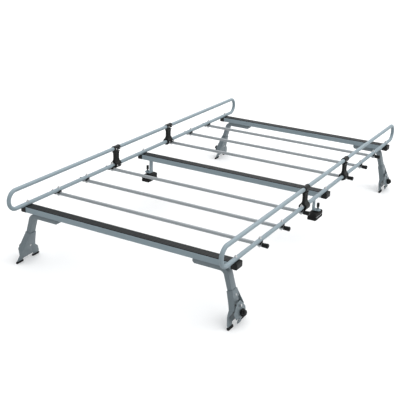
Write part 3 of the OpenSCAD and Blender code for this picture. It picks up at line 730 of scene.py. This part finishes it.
padShape = {
    # height over the underside, then how far the outline is drawn in and its corner radius
    "steps": ((0.0, 0.0012, 0.005), (0.0010, 0.0002, 0.006), (0.0022, 0.0, 0.006), (0.0146, 0.0, 0.006),
              (0.0158, 0.0008, 0.006), (0.0162, 0.0028, 0.005), (0.0188, 0.0028, 0.005), (0.0192, 0.0008, 0.006),
              (0.0204, 0.0, 0.006), (0.0350, 0.0002, 0.006), (0.0378, 0.0014, 0.007), (0.0404, 0.0036, 0.008),
              (0.0414, 0.0052, 0.008), (0.0420, 0.0074, 0.007)),
    "points": 64,
    # a bright zinc strip in the groove of the pad's outer face: a painted highlight where the groove catches the
    # light
    "strip": {
        "low": 0.0164, "length": 0.080, "depth": 0.0030, "inset": 0.0010, "radius": 0.0008, "points": 16,
        # height over its underside, then how far its outline is drawn in
        "steps": ((0.0, 0.0003), (0.0003, 0.0), (0.0019, 0.0), (0.0022, 0.0003)),
    },
}
screwShape = {
    "pitch": 0.0015, "diameter": 0.010, "depth": 0.0009, "rowsPerTurn": 8, "points": 28,
    # how steep the thread's flanks are, and how much of each turn its root takes
    "flank": 2.2, "root": 0.1,
    # height over the pad, then distance across the collar's corners
    "collar": ((0.0003, 0.0174), (0.0010, 0.0196), (0.0027, 0.0196), (0.0033, 0.0174)), "corners": 6,
    "capHeight": 0.025, "capOverlap": 0.001, "capPoints": 36,
    # height over the cap's lower rim, then diameter
    "cap": ((0.0, 0.0146), (0.0004, 0.0156), (0.0014, 0.0160), (0.0214, 0.0158), (0.0232, 0.0150),
            (0.0243, 0.0130), (0.0249, 0.0096), (0.0250, 0.0050)),
}


def makePad(side):
    low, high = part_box("support_pad_" + side)
    middle = (low + high) / 2
    bm = bmesh.new()
    width, length = high.x - low.x, high.y - low.y
    loft(bm, "z", [
        (low.z + up, boxOutline(width - 2 * inset, length - 2 * inset, radius, padShape["points"]))
        for up, inset, radius in padShape["steps"]
    ], offset=(middle.x, middle.y, 0))
    finishPiece(addPiece("supportPad." + side, bm), "pad_" + side, "black_rubber", "support_pad_" + side)
    # a painted highlight: a thin bright zinc piece in the groove on the outer face only, standing for the light
    # the groove catches
    strip = padShape["strip"]
    face, inward = (high.x, -1) if side == "right" else (low.x, 1)
    x = face + inward * (strip["inset"] + strip["depth"] / 2)
    bm = bmesh.new()
    loft(bm, "z", [
        (low.z + strip["low"] + up,
         boxOutline(strip["depth"] - 2 * cut, strip["length"] - 2 * cut, strip["radius"], strip["points"]))
        for up, cut in strip["steps"]
    ], offset=(x, middle.y, 0))
    finishPiece(addPiece("padStrip." + side, bm), "pad_" + side, "zinc")


def makeScrew(side):
    # a helical thread, a hexagon collar above the pad and a plastic cap on top
    low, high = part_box("support_screw_" + side)
    padLow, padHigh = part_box("support_pad_" + side)
    x, y = (low.x + high.x) / 2, (low.y + high.y) / 2
    capBottom = high.z - screwShape["capHeight"]
    length = capBottom + screwShape["capOverlap"] - low.z
    rows = round(length / screwShape["pitch"] * screwShape["rowsPerTurn"])
    sections = []
    for row in range(rows + 1):
        up = row / screwShape["rowsPerTurn"]
        outline = []
        for i in range(screwShape["points"]):
            turn = i / screwShape["points"]
            phase = (up - turn) % 1
            dip = min(1, max(0, screwShape["flank"] * abs(phase - 0.5) - screwShape["root"]))
            radius = screwShape["diameter"] / 2 - screwShape["depth"] * dip
            outline.append((radius * math.cos(fullTurn * turn), radius * math.sin(fullTurn * turn)))
        sections.append((low.z + up * screwShape["pitch"], outline))
    bm = bmesh.new()
    loft(bm, "z", sections, offset=(x, y, 0))
    loft(bm, "z", [
        (padHigh.z + up, circleOutline(size, screwShape["corners"])) for up, size in screwShape["collar"]
    ], offset=(x, y, 0))
    finishPiece(addPiece("supportScrew." + side, bm), "screw_" + side, "black_screw", "support_screw_" + side)
    bm = bmesh.new()
    loft(bm, "z", [
        (capBottom + up, circleOutline(diameter, screwShape["capPoints"])) for up, diameter in screwShape["cap"]
    ], offset=(x, y, 0))
    finishPiece(addPiece("screwCap." + side, bm), "screw_" + side, "black_plastic")


for side in ("left", "right"):
    makePad(side)
    makeScrew(side)
print("ladder rack: middle supports made")


# pressed steel, tubes and fixings with softened edges

softEdges = {
    # node names start with these: edge radius in metres
    "leg_tube": 0.0009, "foot_bracket": 0.0007, "clamp_plate": 0.0007, "foot_shoes": 0.0014,
    "support_bracket": 0.0008, "leg_bolts": 0.0005, "rail_bolts": 0.0004, "rail_nuts": 0.0003,
    "support_bolts": 0.0004, "rail_saddles": 0.0005, "joint_screws": 0.0004,
}
# distances in metres and angles in degrees
softening = {
    "merge": 2e-6, "flatAngle": 0.4, "sharpAngle": 28, "segments": 2, "profile": 0.5, "creaseAngle": 40,
}


def softenNode(nodeName, width):
    # copies a node's shape, merges its flat faces and rounds its sharp edges
    node = frame["nodes"][nodeName]
    bm = bmesh.new()
    bm.from_mesh(node.data)
    bmesh.ops.remove_doubles(bm, verts=bm.verts, dist=softening["merge"])
    bmesh.ops.dissolve_limit(
        bm, angle_limit=math.radians(softening["flatAngle"]), verts=bm.verts, edges=bm.edges,
        use_dissolve_boundaries=False,
    )
    sharpest = math.radians(softening["sharpAngle"])
    sharp = [e for e in bm.edges if e.is_manifold and e.calc_face_angle(0) > sharpest]
    bmesh.ops.bevel(
        bm, geom=sharp, offset=width, offset_type="OFFSET", segments=softening["segments"],
        profile=softening["profile"], affect="EDGES", clamp_overlap=True,
    )
    words = nodeName.split("_")
    pieceName = words[0] + "".join(w.capitalize() for w in words[1:])
    piece = addPiece(pieceName, bm, sharpAngle=softening["creaseAngle"])
    finishPiece(piece, node["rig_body"], slotOfNode[nodeName], nodeName)


slotOfNode = {}
for nodeName, node in frame["nodes"].items():
    for slot, finish in finishes.items():
        if node.material_slots[0].material == finish:
            slotOfNode[nodeName] = slot
for nodeName in sorted(frame["nodes"]):
    for start, width in softEdges.items():
        if nodeName.startswith(start):
            softenNode(nodeName, width)
print("ladder rack: edges softened")


# studio

makeCamera(studio)
makeWorld(studio)
makeLights(studio)
makeFloor(studio)
print("ladder rack: done")
